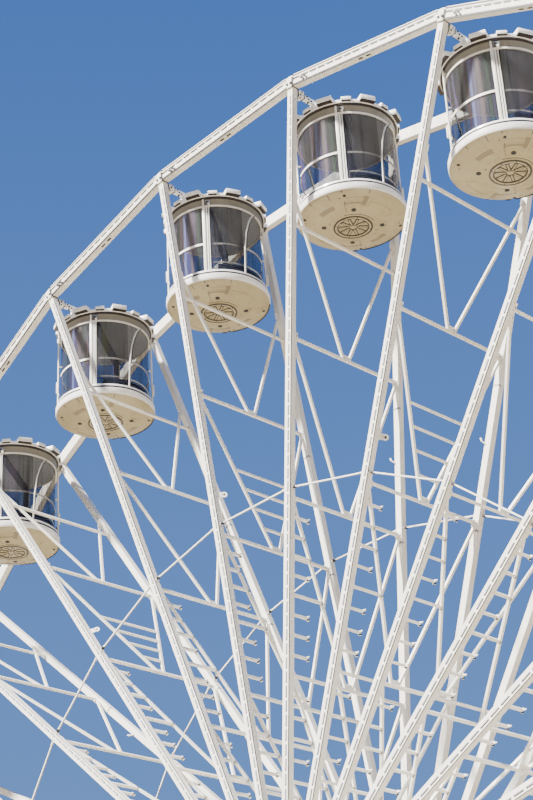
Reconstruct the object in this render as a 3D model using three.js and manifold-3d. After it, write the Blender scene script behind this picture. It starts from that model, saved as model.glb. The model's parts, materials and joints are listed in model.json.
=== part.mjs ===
// A fairground observation wheel with 26 round cabins, at its real size in millimetres.
// X lies in the wheel's plane, Y along its axle with the front at -Y, and Z points up from the ground.
import * as THREE from "three";
import { mergeVertices } from "three/addons/utils/BufferGeometryUtils.js";
import Module from "manifold-3d";

const wasm = await Module();
wasm.setup();

// The wheel: one spoke frame and one cabin at each corner of its rims
const CABINS = 26;
const STEP = (2 * Math.PI) / CABINS;
const HALF_STEP = STEP / 2;
const FIRST_ANGLE = THREE.MathUtils.degToRad(5.06); // of frame 1, from straight up towards +X
const AXLE_Z = 18200;
const SEAT = 0.3; // between pieces that lie on each other

const RIM_RADIUS = 14800; // to the rim's centre line at a corner
const RIM_PLANE = 1320; // each rim's middle, from the wheel's mid plane
const RIM_HEIGHT = 220;
const RIM_DEPTH = 140;

const SPOKE_WIDTH = 120;
const MEMBER_WIDTH = 46;
const MEMBER_RADII = [11944, 9768, 6926, 4026, 1500];
const STRUT_WIDTH = 44;
const STRUT_HEADS = [12540, 9790, 6950]; // where each pair of struts meets its spokes
const STRUT_FEET = [9768, 6926, 4026]; // the cross member that each pair stands on
const STRUT_FOOT_Y = 66; // a foot's place, from the mid plane
const JOIN = 25; // how far a bar reaches into what it is welded to

const HUB_FACET_RADIUS = 950; // to the flats that the spokes stand on
const HUB_FLANGE_DEPTH = 240;
const HUB_DRUM_RADIUS = 560;
const SHAFT_SIDES = 16;
const SHAFT_RADIUS = 160;
const SHAFT_PLAY = 0.5; // between the shaft's corners and its bearing's flats
const COLLAR_RADIUS = 270;
const COLLAR_DEPTH = 90;
const END_PLAY = 5; // between a tower's head and the hub's shoulder or collar

// A cabin: heights are measured from the axis that it hangs on
const HANG_RADIUS = 14620;
const BEARING_WIDTH = 120;
const BEARING_HEIGHT = 130;
const BEARING_FACE = 1090; // the bearing's inner face, from the mid plane
const BEARING_DEPTH = 120;
const BRACKET_WIDTH = 84; // of the plate that holds a bearing to its spoke
const BRACKET_HEIGHT = 110;
const BRACKET_DROP = 40; // of that plate's middle below the bearing's
const CABIN_SIDES = 12;
const HANGER_WIDTH = 84;
const HANGER_PLAY = 0.4; // between the hanger's ends and the bearings
const ROOF_PROFILE = [[0, -505], [900, -505], [950, -320], [950, -150], [0, -30]];
const PAN_PROFILE = [[0, -2330], [330, -2330], [975, -2190], [975, -2035], [925, -1940], [0, -1940]];
const POST_RADIUS = 895;
const POST_WIDTH = 46;
const DOOR_POST_WIDTH = 150;
const POST_AZIMUTHS = [55, 235]; // degrees from +X towards +Y
const DOOR_POST_AZIMUTHS = [-55, 125];

// The towers that carry the axle, and the base that they stand on
const HEAD_NEAR = 1600; // a head's inner face, from the mid plane
const HEAD_DEPTH = 400;
const HEAD_WIDTH = 900;
const HEAD_HEIGHT = 900;
const LEG_WIDTH = 360;
const LEG_TOP_X = 270;
const FOOT_X = 7000;
const FOOT_Y = 4250;
const FOOT_SIZE = 700;
const FOOT_THICKNESS = 60;
const CROSSBAR_HEIGHTS = [6500, 11800];
const CROSSBAR_WIDTH = 240;
const BRACE_WIDTH = 140;

const SILL_WIDTH = 700;
const SILL_HEIGHT = 500;
const SILL_LENGTH = 14900;
const BEARER_WIDTH = 400;
const BEARER_HEIGHT = 400;
const BEARER_XS = [-7000, -3500, 0, 3500, 7000];
const DECK_TOP = 1150;
const DECK_THICKNESS = 100;
const DECK_X = 3900;
const DECK_Y = 4650;
const DECK_WEB = 120;
const DECK_WEB_XS = [-3400, 0, 3400];
const STAIR_WIDTH = 3000;
const TREADS = 5;
const TREAD_DEPTH = 290;

const WHITE_STEEL = { color: 0xe9e7df, roughness: 0.42, metalness: 0.15 };
const CABIN_SHELL = { color: 0xe6e0d2, roughness: 0.38, metalness: 0.0 };
const HUB_STEEL = { color: 0xdedcd4, roughness: 0.45, metalness: 0.2 };
const DECK_PLATE = { color: 0xa9abaa, roughness: 0.6, metalness: 0.4 };
const BASE_STEEL = { color: 0xc9c8c2, roughness: 0.55, metalness: 0.2 };

// A closed three.js geometry as a solid
function solid(geometry) {
  const bare = geometry.clone();
  bare.deleteAttribute("normal");
  bare.deleteAttribute("uv");
  const merged = mergeVertices(bare, 1e-3);
  const index = merged.index.array;
  const triVerts = [];
  for (let i = 0; i < index.length; i += 3) {
    const [a, b, c] = [index[i], index[i + 1], index[i + 2]];
    if (a !== b && b !== c && c !== a) triVerts.push(a, b, c); // a lathe's poles leave empty triangles
  }
  return new wasm.Manifold(
    new wasm.Mesh({
      numProp: 3,
      vertProperties: new Float32Array(merged.attributes.position.array),
      triVerts: new Uint32Array(triVerts),
    }),
  );
}

function joined(geometries) {
  return geometries.map(solid).reduce((whole, next) => whole.add(next));
}

function geometryOf(body) {
  const { numVert, numProp, vertProperties, triVerts } = body.getMesh();
  const positions = new Float32Array(numVert * 3);
  for (let i = 0; i < numVert; i++) {
    positions.set(vertProperties.subarray(i * numProp, i * numProp + 3), i * 3);
  }
  const geometry = new THREE.BufferGeometry();
  geometry.setAttribute("position", new THREE.BufferAttribute(positions, 3));
  geometry.setIndex(new THREE.BufferAttribute(new Uint32Array(triVerts), 1));
  geometry.computeVertexNormals();
  return geometry;
}

function box(width, depth, height, x, y, z) {
  return new THREE.BoxGeometry(width, depth, height).translate(x, y, z);
}

// A square bar between two points
function bar(from, to, width) {
  const start = new THREE.Vector3(...from);
  const along = new THREE.Vector3(...to).sub(start);
  const length = along.length();
  const geometry = new THREE.BoxGeometry(width, length, width);
  const turn = new THREE.Quaternion().setFromUnitVectors(new THREE.Vector3(0, 1, 0), along.normalize());
  const middle = start.addScaledVector(along, length / 2);
  return geometry.applyQuaternion(turn).translate(middle.x, middle.y, middle.z);
}

// A ring of 26 straight bars round the axle, with a corner at each spoke frame
function polygonRing(radius, height, depth, y) {
  const reach = height / 2 / Math.cos(HALF_STEP);
  const outline = [
    [radius - reach, -depth / 2],
    [radius + reach, -depth / 2],
    [radius + reach, depth / 2],
    [radius - reach, depth / 2],
    [radius - reach, -depth / 2],
  ];
  const points = outline.map(([r, side]) => new THREE.Vector2(r, y + side));
  return new THREE.LatheGeometry(points, CABINS);
}

// A turned piece with its axis along Z
function turned(profile, sides) {
  const points = profile.map(([r, z]) => new THREE.Vector2(r, z));
  return new THREE.LatheGeometry(points, sides).rotateX(Math.PI / 2);
}

// A disc or drum round the axle, with flats or corners at the spokes
function drum(radius, sides, fromY, toY, startAngle = 0) {
  const geometry = new THREE.CylinderGeometry(radius, radius, toY - fromY, sides, 1, false, startAngle);
  return geometry.translate(0, (fromY + toY) / 2, 0);
}

// One spoke, in the plane of the rim on its side: its tip fits the rim's corner
function spoke(side) {
  const half = SPOKE_WIDTH / 2;
  const foot = HUB_FACET_RADIUS + SEAT;
  const tip = RIM_RADIUS - (RIM_HEIGHT / 2 + SEAT) / Math.cos(HALF_STEP);
  const shoulder = tip - half * Math.tan(HALF_STEP);
  const outline = new THREE.Shape();
  outline.moveTo(-half, foot);
  outline.lineTo(half, foot);
  outline.lineTo(half, shoulder);
  outline.lineTo(0, tip);
  outline.lineTo(-half, shoulder);
  outline.closePath();
  const geometry = new THREE.ExtrudeGeometry(outline, { depth: SPOKE_WIDTH, bevelEnabled: false });
  return geometry.rotateX(Math.PI / 2).translate(0, side * RIM_PLANE + half, 0);
}

// The front and back spoke with what joins them, standing up from the axle along Z
function spokeFrame() {
  const inner = RIM_PLANE - SPOKE_WIDTH / 2;
  const pieces = [spoke(-1), spoke(1)];
  for (const radius of MEMBER_RADII) {
    pieces.push(box(MEMBER_WIDTH, 2 * (inner + JOIN), MEMBER_WIDTH, 0, 0, radius));
  }
  STRUT_HEADS.forEach((head, i) => {
    for (const side of [-1, 1]) {
      pieces.push(bar([0, side * (inner + JOIN), head], [0, side * STRUT_FOOT_Y, STRUT_FEET[i]], STRUT_WIDTH));
    }
  });
  for (const side of [-1, 1]) {
    const bearingY = side * (BEARING_FACE + BEARING_DEPTH / 2);
    pieces.push(box(BEARING_WIDTH, BEARING_DEPTH, BEARING_HEIGHT, 0, bearingY, HANG_RADIUS));
    const [near, far] = [BEARING_FACE + BEARING_DEPTH - JOIN, inner + JOIN];
    const bracketY = (side * (near + far)) / 2;
    pieces.push(box(BRACKET_WIDTH, far - near, BRACKET_HEIGHT, 0, bracketY, HANG_RADIUS - BRACKET_DROP));
  }
  return joined(pieces);
}

// A cabin without its glass: pan, roof, posts and the hanger across its roof
function cabin() {
  const length = 2 * (BEARING_FACE - HANGER_PLAY);
  const roofFoot = ROOF_PROFILE[0][1];
  const panTop = PAN_PROFILE[PAN_PROFILE.length - 1][1];
  const postHeight = roofFoot - panTop + 2 * JOIN;
  const pieces = [
    turned(PAN_PROFILE, CABIN_SIDES),
    turned(ROOF_PROFILE, CABIN_SIDES),
    box(HANGER_WIDTH, length, HANGER_WIDTH, 0, 0, 0),
  ];
  const posts = [
    ...POST_AZIMUTHS.map((azimuth) => [azimuth, POST_WIDTH]),
    ...DOOR_POST_AZIMUTHS.map((azimuth) => [azimuth, DOOR_POST_WIDTH]),
  ];
  for (const [azimuth, width] of posts) {
    const post = box(POST_WIDTH, width, postHeight, POST_RADIUS, 0, (roofFoot + panTop) / 2);
    pieces.push(post.rotateZ(THREE.MathUtils.degToRad(azimuth)));
  }
  return joined(pieces);
}

// The hub turns in the towers' heads: two flanges that the spokes stand on, a drum, a shaft and its collars
function hub() {
  const flangeNear = RIM_PLANE - HUB_FLANGE_DEPTH / 2;
  const flangeFar = RIM_PLANE + HUB_FLANGE_DEPTH / 2;
  const flangeRadius = HUB_FACET_RADIUS / Math.cos(HALF_STEP);
  const shoulder = HEAD_NEAR - END_PLAY;
  const collar = HEAD_NEAR + HEAD_DEPTH + END_PLAY;
  return joined([
    drum(flangeRadius, CABINS, -flangeFar, -flangeNear, HALF_STEP),
    drum(flangeRadius, CABINS, flangeNear, flangeFar, HALF_STEP),
    drum(HUB_DRUM_RADIUS, SHAFT_SIDES, -flangeNear - JOIN, flangeNear + JOIN),
    drum(COLLAR_RADIUS, SHAFT_SIDES, -shoulder, -flangeFar + JOIN),
    drum(COLLAR_RADIUS, SHAFT_SIDES, flangeFar - JOIN, shoulder),
    drum(SHAFT_RADIUS, SHAFT_SIDES, -collar - JOIN, collar + JOIN),
    drum(COLLAR_RADIUS, SHAFT_SIDES, -collar - COLLAR_DEPTH, -collar),
    drum(COLLAR_RADIUS, SHAFT_SIDES, collar, collar + COLLAR_DEPTH),
  ]);
}

// One tower, on the side of +Y or -Y: a bored head, two legs, crossbars, braces and feet
function tower(side) {
  const headY = side * (HEAD_NEAR + HEAD_DEPTH / 2);
  const footZ = SILL_HEIGHT + SEAT;
  const legPoint = (sideX, z) => {
    const down = (AXLE_Z - z) / (AXLE_Z - footZ);
    const x = sideX * (LEG_TOP_X + (FOOT_X - LEG_TOP_X) * down);
    return [x, headY + (side * FOOT_Y - headY) * down, z];
  };
  const pieces = [box(HEAD_WIDTH, HEAD_DEPTH, HEAD_HEIGHT, 0, headY, AXLE_Z)];
  for (const sideX of [-1, 1]) {
    pieces.push(bar(legPoint(sideX, AXLE_Z - HEAD_HEIGHT / 4), legPoint(sideX, footZ - LEG_WIDTH), LEG_WIDTH));
    const footMiddle = footZ + FOOT_THICKNESS / 2;
    pieces.push(box(FOOT_SIZE, FOOT_SIZE, FOOT_THICKNESS, sideX * FOOT_X, side * FOOT_Y, footMiddle));
    const [, crownY] = legPoint(0, CROSSBAR_HEIGHTS[0]);
    const braceFoot = legPoint(sideX, footZ + LEG_WIDTH);
    pieces.push(bar([0, crownY, CROSSBAR_HEIGHTS[0]], braceFoot, BRACE_WIDTH));
  }
  for (const z of CROSSBAR_HEIGHTS) {
    const [x, y] = legPoint(1, z);
    pieces.push(box(2 * x, CROSSBAR_WIDTH, CROSSBAR_WIDTH, 0, y, z));
  }
  const halfSide = Math.PI / SHAFT_SIDES; // turned by this, the bore's flats face the shaft's corners
  const boreRadius = (SHAFT_RADIUS + SHAFT_PLAY) / Math.cos(halfSide);
  const bore = drum(boreRadius, SHAFT_SIDES, headY - HEAD_DEPTH, headY + HEAD_DEPTH, halfSide);
  bore.rotateY(FIRST_ANGLE); // like the hub
  const reach = FOOT_X + LEG_WIDTH;
  const underFeet = box(2 * reach, 2 * reach, footZ, 0, 0, footZ / 2);
  return joined(pieces).subtract(solid(bore.translate(0, 0, AXLE_Z))).subtract(solid(underFeet));
}

// One flight of steps up to the deck, on the side of +Y or -Y, with its profile in the plane of Y and Z
function stair(side) {
  const rise = DECK_TOP / (TREADS + 1);
  const outline = new THREE.Shape();
  outline.moveTo(DECK_Y - JOIN, 0);
  outline.lineTo(DECK_Y + TREADS * TREAD_DEPTH, 0);
  for (let i = 0; i < TREADS; i++) {
    outline.lineTo(DECK_Y + (TREADS - i) * TREAD_DEPTH, (i + 1) * rise);
    outline.lineTo(DECK_Y + (TREADS - i - 1) * TREAD_DEPTH, (i + 1) * rise);
  }
  outline.lineTo(DECK_Y, DECK_TOP - DECK_THICKNESS / 2);
  outline.lineTo(DECK_Y - JOIN, DECK_TOP - DECK_THICKNESS / 2);
  outline.closePath();
  const geometry = new THREE.ExtrudeGeometry(outline, { depth: STAIR_WIDTH, bevelEnabled: false });
  geometry.translate(0, 0, -STAIR_WIDTH / 2).rotateX(Math.PI / 2).rotateZ(Math.PI / 2);
  return side > 0 ? geometry : geometry.rotateZ(Math.PI);
}

// Two sills and five bearers, flat on the ground
function base() {
  const pieces = [];
  for (const side of [-1, 1]) {
    pieces.push(box(SILL_LENGTH, SILL_WIDTH, SILL_HEIGHT, 0, side * FOOT_Y, SILL_HEIGHT / 2));
  }
  for (const x of BEARER_XS) {
    pieces.push(box(BEARER_WIDTH, 2 * FOOT_Y, BEARER_HEIGHT, x, 0, BEARER_HEIGHT / 2));
  }
  return joined(pieces);
}

// The boarding deck on its three webs, which stand on bearers, with a flight of steps at the front and back
function deck() {
  const webTop = DECK_TOP - DECK_THICKNESS + JOIN;
  const webFoot = BEARER_HEIGHT + SEAT;
  const webLength = 2 * FOOT_Y - SILL_WIDTH - 2 * SEAT;
  const pieces = [box(2 * DECK_X, 2 * DECK_Y, DECK_THICKNESS, 0, 0, DECK_TOP - DECK_THICKNESS / 2)];
  for (const x of DECK_WEB_XS) {
    pieces.push(box(DECK_WEB, webLength, webTop - webFoot, x, 0, (webTop + webFoot) / 2));
  }
  return joined([...pieces, stair(-1), stair(1)]);
}

function piece(name, geometry, finish) {
  const mesh = new THREE.Mesh(geometry, new THREE.MeshStandardMaterial(finish));
  mesh.name = name;
  return mesh;
}

function numbered(name, i) {
  return name + "_" + String(i + 1).padStart(2, "0");
}

function buildWheel() {
  const wheel = new THREE.Group();
  wheel.position.z = AXLE_Z;

  const turning = new THREE.Group();
  turning.rotation.y = FIRST_ANGLE;
  turning.add(piece("hub", geometryOf(hub()), HUB_STEEL));
  for (const [side, word] of [[-1, "front"], [1, "back"]]) {
    const rim = solid(polygonRing(RIM_RADIUS, RIM_HEIGHT, RIM_DEPTH, side * RIM_PLANE));
    turning.add(piece(word + "_rim", geometryOf(rim), WHITE_STEEL));
  }
  const frameGeometry = geometryOf(spokeFrame());
  for (let i = 0; i < CABINS; i++) {
    const frame = piece(numbered("spoke_frame", i), frameGeometry, WHITE_STEEL);
    frame.rotation.y = i * STEP;
    turning.add(frame);
  }
  wheel.add(turning);

  const cabinGeometry = geometryOf(cabin());
  for (let i = 0; i < CABINS; i++) {
    const angle = FIRST_ANGLE + i * STEP;
    const hanging = piece(numbered("cabin", i), cabinGeometry, CABIN_SHELL);
    hanging.position.set(HANG_RADIUS * Math.sin(angle), 0, HANG_RADIUS * Math.cos(angle));
    wheel.add(hanging);
  }
  return wheel;
}

function buildStand() {
  const stand = new THREE.Group();
  stand.add(piece("base_frame", geometryOf(base()), BASE_STEEL));
  stand.add(piece("boarding_deck", geometryOf(deck()), DECK_PLATE));
  stand.add(piece("front_tower", geometryOf(tower(-1)), WHITE_STEEL));
  stand.add(piece("back_tower", geometryOf(tower(1)), WHITE_STEEL));
  return stand;
}

const observationWheel = new THREE.Group();
observationWheel.add(buildWheel(), buildStand());

export default observationWheel;
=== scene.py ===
import json
import math

import bmesh
import bpy
from mathutils import Matrix, Vector


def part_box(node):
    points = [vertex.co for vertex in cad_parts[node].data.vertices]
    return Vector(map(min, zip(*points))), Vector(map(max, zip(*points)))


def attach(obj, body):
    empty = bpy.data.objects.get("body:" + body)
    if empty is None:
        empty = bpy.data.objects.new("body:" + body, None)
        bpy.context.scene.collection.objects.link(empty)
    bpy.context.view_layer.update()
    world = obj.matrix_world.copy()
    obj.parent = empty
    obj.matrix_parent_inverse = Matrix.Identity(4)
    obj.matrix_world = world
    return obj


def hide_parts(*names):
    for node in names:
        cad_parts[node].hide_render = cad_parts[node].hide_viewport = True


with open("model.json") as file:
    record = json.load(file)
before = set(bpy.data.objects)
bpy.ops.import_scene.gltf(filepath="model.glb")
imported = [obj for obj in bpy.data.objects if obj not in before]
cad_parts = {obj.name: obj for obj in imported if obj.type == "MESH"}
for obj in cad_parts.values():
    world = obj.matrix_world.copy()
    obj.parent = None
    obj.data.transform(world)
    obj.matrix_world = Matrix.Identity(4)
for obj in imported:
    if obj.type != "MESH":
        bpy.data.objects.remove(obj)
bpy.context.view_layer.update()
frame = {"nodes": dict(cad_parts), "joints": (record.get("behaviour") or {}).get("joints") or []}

UP = Vector((0, 0, 1))
SIDES = (-1, 1)
CORNERS = [(x, y) for x in SIDES for y in SIDES]

# The wheel, as in the part's source
HINGES = {joint["child"]: Vector(joint["pos_m"]) for joint in frame["joints"]}
AXLE = HINGES["wheel"]
CABINS = len(HINGES) - 1
STEP = 2 * math.pi / CABINS
HALF_STEP = STEP / 2
FIRST_HANG = HINGES["cabin_01_body"] - AXLE
FIRST_ANGLE = math.atan2(FIRST_HANG.x, FIRST_HANG.z)
HANG_RADIUS = FIRST_HANG.length
HALF_TURN = Matrix.Rotation(math.pi, 4, "Z")

RIM_RADIUS = 14.8
RIM_PLANE = 1.32
RIM_HEIGHT = 0.22
RIM_DEPTH = 0.14
RIM_FACE = RIM_PLANE + RIM_DEPTH / 2
SPOKE_WIDTH = 0.12
SPOKE_FACE = RIM_PLANE + SPOKE_WIDTH / 2
SPOKE_INNER = RIM_PLANE - SPOKE_WIDTH / 2
FRONT_INNER = -SPOKE_INNER
SPOKE_FOOT = 0.95
SPOKE_TIP = RIM_RADIUS - RIM_HEIGHT / 2 - 0.02
MEMBER_RADII = (11.944, 9.768, 6.926, 4.026, 1.5)
STRUT_WIDTH = 0.044
STRUT_HEADS = (12.54, 9.79, 6.95, 4.026)
STRUT_FEET = MEMBER_RADII[1:]
STRUT_FOOT_Y = 0.066

BEARING_FACE = 1.09
BEARING_DEPTH = 0.12
BEARING_CAP = BEARING_FACE + BEARING_DEPTH
BEARING_WIDTH = 0.12
BEARING_HEIGHT = 0.13

TIE_RADIUS = 7.07
TIE_WIDTH = 0.021
LUG_RADIUS = 7.655
LUG_TURN = 52.0
PEG_PITCH = 0.3222  # from the third member inwards
PEG_LENGTH = 0.34
PEGS = (1, 4, 6, 7, 8, 10, 13, 15)
STRUT_RUNGS = (2, 3, 5, 11, 12, 14)
INNER_RUNGS = 9  # from this number on, a rung ends on the innermost strut
PANEL_RUNGS = (8.39, 8.04, 7.69, 7.33)
HOOK_RADIUS = 8.3
# Radii of two dark bands on each back spoke: painted shadows of rungs
RUNG_SHADOW_RADII = (9.27, 6.8)
FIRST_LIGHT = 2.2
LIGHT_LENGTH = 0.165
LIGHT_PITCH = 0.222
DASH_LENGTH = 0.16
DASH_PITCH = 0.21
BAR_GAP = 0.1  # from a spoke's middle to the ends of a bar's strips
FLANGE_X = 0.084  # from a spoke's middle to the flange of the next bar
HOOK_MARKS = ((0.3, 0.044), (0.385, 0.034))  # how far along the bar, and how thick

# The hub: radii from the axle, and places along it
FLANGE_FACE = RIM_PLANE + 0.12
FLANGE_BOLTS = 0.88
FLANGE_PIN = 0.74
SHOE_RADIUS = 1.06
SHOE_BOLTS = (1.0, 1.12)
WEB_RADIUS = 0.72
DRUM_RIBS = (-0.6, 0.0, 0.6)
DRUM_RIB_RADIUS = 0.58
COLLAR_FACE = 2.095
COLLAR_BOLTS = 0.228
CAP_RADIUS = 0.19
CAP_HEIGHT = 0.035
CAP_BOLTS = 0.14

# A cabin: heights are measured from the axis that it hangs on
HANGER_WIDTH = 0.084
HANGER_END = BEARING_FACE - 0.0004
SADDLE_Y = 0.76
GASKET_Z = -0.32
CEILING_Z = -0.5
CEILING_RADIUS = 0.85
BLOCK_START = 0.78  # where the roof's blocks begin
GLASS_RADIUS = 0.878
RING_RADIUS = GLASS_RADIUS + 0.005
GLASS_TOP = -0.5
GLASS_FOOT = -1.945
HAND_RAIL_Z = -1.325
LOW_RAIL_Z = -1.73
SILL_Z = -1.94
BAND_RADIUS = 0.988
BAND_TOP = -2.035
BAND_FOOT = -2.165
DISH_FOOT = -2.325
DISH_RISE = ((0.43, 0.012), (0.6, 0.036), (0.78, 0.072), (0.9, 0.108))  # radius and height over its foot
ROSETTE_RADIUS = 0.33
VENT_RADIUS = 0.16
SCREW_RADIUS = 0.308
DRAINS = (-45, 45, 135, -135)
DRAIN_RADIUS = 0.51
RIM_DRAINS = (-56, 56, 124, -124)
RIM_DRAIN_RADIUS = 0.86
BENCH_HALF = 42  # half of a bench's turn
NEAR_POST = -57.0
NEAR_TRIM = -50.8
FAR_POST = 123.0
FAR_TRIM = 129.2
RODS = (57.0, -123.0)
CLEAR_START = -8.0  # from here on, towards the rod, a fixed pane is clear
PANES = ((-123.0, -57.0), (-50.0, CLEAR_START), (57.0, 123.0), (130.0, 180.0 + CLEAR_START))
CLEAR_PANES = ((CLEAR_START, 57.0), (180.0 + CLEAR_START, 237.0))
DOOR_PANES = (PANES[0], PANES[2])
PANE_PERIOD = math.pi * GLASS_RADIUS  # the panes repeat after half a turn
# The curved trim of a fixed pane: azimuth, height and thickness of its points
ARCH = (
    (12, -0.5, 0.017),
    (9, -0.54, 0.017),
    (5, -0.62, 0.016),
    (1, -0.76, 0.014),
    (-3, -0.98, 0.012),
    (-6.5, -1.4, 0.009),
    (CLEAR_START, SILL_Z, 0.009),
)
# Bands of painted reflection on a door pane: middle and half width along the arc, and colour
REFLECTION_BANDS = (
    (1.27, 0.06, (0.02, 0.02, 0.016)),
    (1.38, 0.03, (0.06, 0.026, 0.026)),
    (1.46, 0.045, (0.15, 0.17, 0.36)),
    (1.53, 0.035, (0.07, 0.045, 0.15)),
    (1.62, 0.06, (0.13, 0.095, 0.11)),
    (1.76, 0.05, (0.05, 0.075, 0.06)),
)

# What stands on the ground
DECK_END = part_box("boarding_deck")[1].y
DECK_TOP = 1.15
DECK_THICKNESS = 0.1
DECK_X = 3.9
DECK_Y = 4.65
STAIR_HALF = 1.5
STAIR_RUN = DECK_END - DECK_Y
TREADS = 5
TREAD_RISE = DECK_TOP / (TREADS + 1)
RAIL_HEIGHT = 1.1
WHEEL_GAP = 1.8  # half of what the railings leave free for the cabins
HEAD_Y = 1.8
HEAD_FRONT = 2.0
HEAD_BACK = 1.6
HEAD_HALF = 0.45
HEAD_BOLTS = 0.38
HOUSING_HEIGHT = 0.06
HOUSING_BOLTS = 0.37
FOOT_X = 7.0
FOOT_Y = 4.25
FOOT_Z = 0.5003
LEG_TOP_X = 0.27
LEG_WIDTH = 0.36
LEG_JOINTS = (3.4, 9.2, 14.6)
LEG_BOLT_PITCH = 0.13
FOOT_BOLTS = 0.28
CROSSBARS = (6.5, 11.8)
CROSSBAR_FACE = 0.12
CROSSBAR_JOINT = 0.34  # from the leg's middle line to the joint
CROWN_BOLT_PITCH = 0.11
SILL_HALF = 7.45
SILL_WIDTH = 0.7
SILL_HEIGHT = 0.5
SPLICES = (-4.9, -1.75, 1.75, 4.9)
EYE_X = 6.4
FLOOR_REACH = 2000.0
EYE_BEND = [Matrix.Rotation(math.radians(turn), 3, "Y") @ Vector((-1, 0, 0)) for turn in range(0, 181, 30)]


def numbered(name, i):
    return f"{name}_{i + 1:02d}"


# Shader arithmetic


class Value:
    """A shader socket. Arithmetic on it adds Math nodes to its finish."""

    def __init__(self, finish, socket):
        self.finish = finish
        self.socket = socket

    def math(self, operation, first, second=0.0):
        return self.finish.add("Math", {"operation": operation}, {0: first, 1: second})

    def __add__(self, other):
        return self.math("ADD", self, other)

    def __sub__(self, other):
        return self.math("SUBTRACT", self, other)

    def __rsub__(self, other):
        return self.math("SUBTRACT", other, self)

    def __mul__(self, other):
        return self.math("MULTIPLY", self, other)

    def wave(self):
        return self.math("SINE", self)

    def size(self):
        return self.math("ABSOLUTE", self)

    def wrapped(self, period):
        return self.math("MODULO", self, period)

    __radd__ = __add__
    __rmul__ = __mul__


class Finish:
    """A material and the nodes that make it."""

    def __init__(self, name, **shader):
        self.material = bpy.data.materials.new(name)
        self.material.use_nodes = True
        self.tree = self.material.node_tree
        self.shader = self.tree.nodes["Principled BSDF"]
        self.set(**shader)

    def set(self, **shader):
        """Fill sockets of the shader, and give back the material."""
        for word, value in shader.items():
            self.plug(self.shader.inputs[word.replace("_", " ").title().replace("Ior", "IOR")], value)
        return self.material

    def plug(self, socket, value):
        if isinstance(value, Value):
            self.tree.links.new(value.socket, socket)
        elif socket.type == "RGBA":
            socket.default_value = (*value, 1.0)
        else:
            socket.default_value = value

    def add(self, kind, settings=None, sockets=None, output=0):
        """One node: its settings first, then the values or links of its sockets."""
        node = self.tree.nodes.new("ShaderNode" + kind)
        for word, value in (settings or {}).items():
            setattr(node, word, value)
        for key, value in (sockets or {}).items():
            self.plug(node.inputs[key], value)
        return Value(self, node.outputs[output])

    def coordinates(self, kind="Object"):
        return self.add("TexCoord", output=kind)

    def axes(self, kind="Object"):
        place = self.coordinates(kind)
        return [self.add("SeparateXYZ", {}, {0: place}, output=axis) for axis in "XYZ"]

    def stretched(self, scale, kind="Object"):
        return self.add("Mapping", {}, {"Vector": self.coordinates(kind), "Scale": scale})

    def noise(self, scale, detail=3.0, roughness=0.55, place=None):
        place = place or self.coordinates()
        sockets = {"Vector": place, "Scale": scale, "Detail": detail, "Roughness": roughness}
        return self.add("TexNoise", {}, sockets)

    def cells(self, scale, output=0):
        return self.add("TexVoronoi", {}, {"Vector": self.coordinates(), "Scale": scale}, output)

    def mask(self, value, low, high):
        """0 below low, 1 above high, and smooth between them."""
        sockets = {"Value": value, "From Min": low, "From Max": high}
        return self.add("MapRange", {"interpolation_type": "SMOOTHSTEP"}, sockets)

    def mix(self, factor, first, second):
        return self.add("Mix", {"data_type": "RGBA"}, {0: factor, 6: first, 7: second}, output=2)

    def bump(self, height, distance, strength=1.0):
        sockets = {"Height": height, "Distance": distance, "Strength": strength}
        return self.add("Bump", {}, sockets)


def darker(tone, share):
    return tuple(c * share for c in tone)


def steel_paint(name, clean, worn, rust):
    """Semi-gloss paint with slow changes of tone, rain streaks, specks, rust and a fine orange peel."""
    paint = Finish(name, metallic=0.0, ior=1.5, coat_roughness=0.25)
    slow = paint.noise(0.45, 4.0)
    streaks = paint.noise(1.0, 4.0, place=paint.stretched((9.0, 9.0, 0.8)))
    specks = paint.noise(26.0, 2.0)
    grime = paint.mask(slow * 0.55 + streaks * 0.45, 0.42, 0.68)
    colour = paint.mix(grime * 0.55, clean, worn)
    colour = paint.mix(paint.mask(specks, 0.68, 0.76) * 0.5, colour, darker(worn, 0.62))
    spots = paint.mask(paint.noise(3.1, 6.0) * 0.6 + specks * 0.4, 0.6, 0.68)
    return paint.set(
        base_color=paint.mix(spots * rust, colour, (0.23, 0.11, 0.055)),
        roughness=0.36 + 0.22 * grime + 0.12 * specks,
        coat_weight=0.25 - 0.2 * grime,
        normal=paint.bump(paint.noise(90.0, 2.0) * 0.5 + slow, 0.0012),
    )


def gel_coat(name, clean, stained):
    """The cabin's satin shell: mottled, with run marks and a soft moulded waviness."""
    coat = Finish(name, ior=1.48, coat_roughness=0.15)
    mottle = coat.noise(2.4, 5.0)
    runs = coat.noise(1.0, 5.0, place=coat.stretched((14.0, 14.0, 1.6)))
    fine = coat.noise(38.0, 3.0)
    stain = coat.mask(mottle * 0.5 + runs * 0.5, 0.4, 0.7)
    colour = coat.mix(stain * 0.6, clean, stained)
    return coat.set(
        base_color=coat.mix(coat.mask(fine, 0.64, 0.78) * 0.28, colour, darker(stained, 0.7)),
        roughness=0.3 + 0.2 * stain + 0.1 * fine,
        coat_weight=0.3 - 0.2 * stain,
        normal=coat.bump(mottle + fine * 0.06, 0.004),
    )


def dark_rubber():
    rubber = Finish("dark_rubber", ior=1.5)
    dust = rubber.mask(rubber.noise(11.0, 5.0), 0.45, 0.75)
    return rubber.set(
        base_color=rubber.mix(dust * 0.5, (0.018, 0.018, 0.02), (0.075, 0.07, 0.062)),
        roughness=0.6 + 0.25 * dust,
        normal=rubber.bump(rubber.noise(160.0, 2.0), 0.0006),
    )


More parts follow.
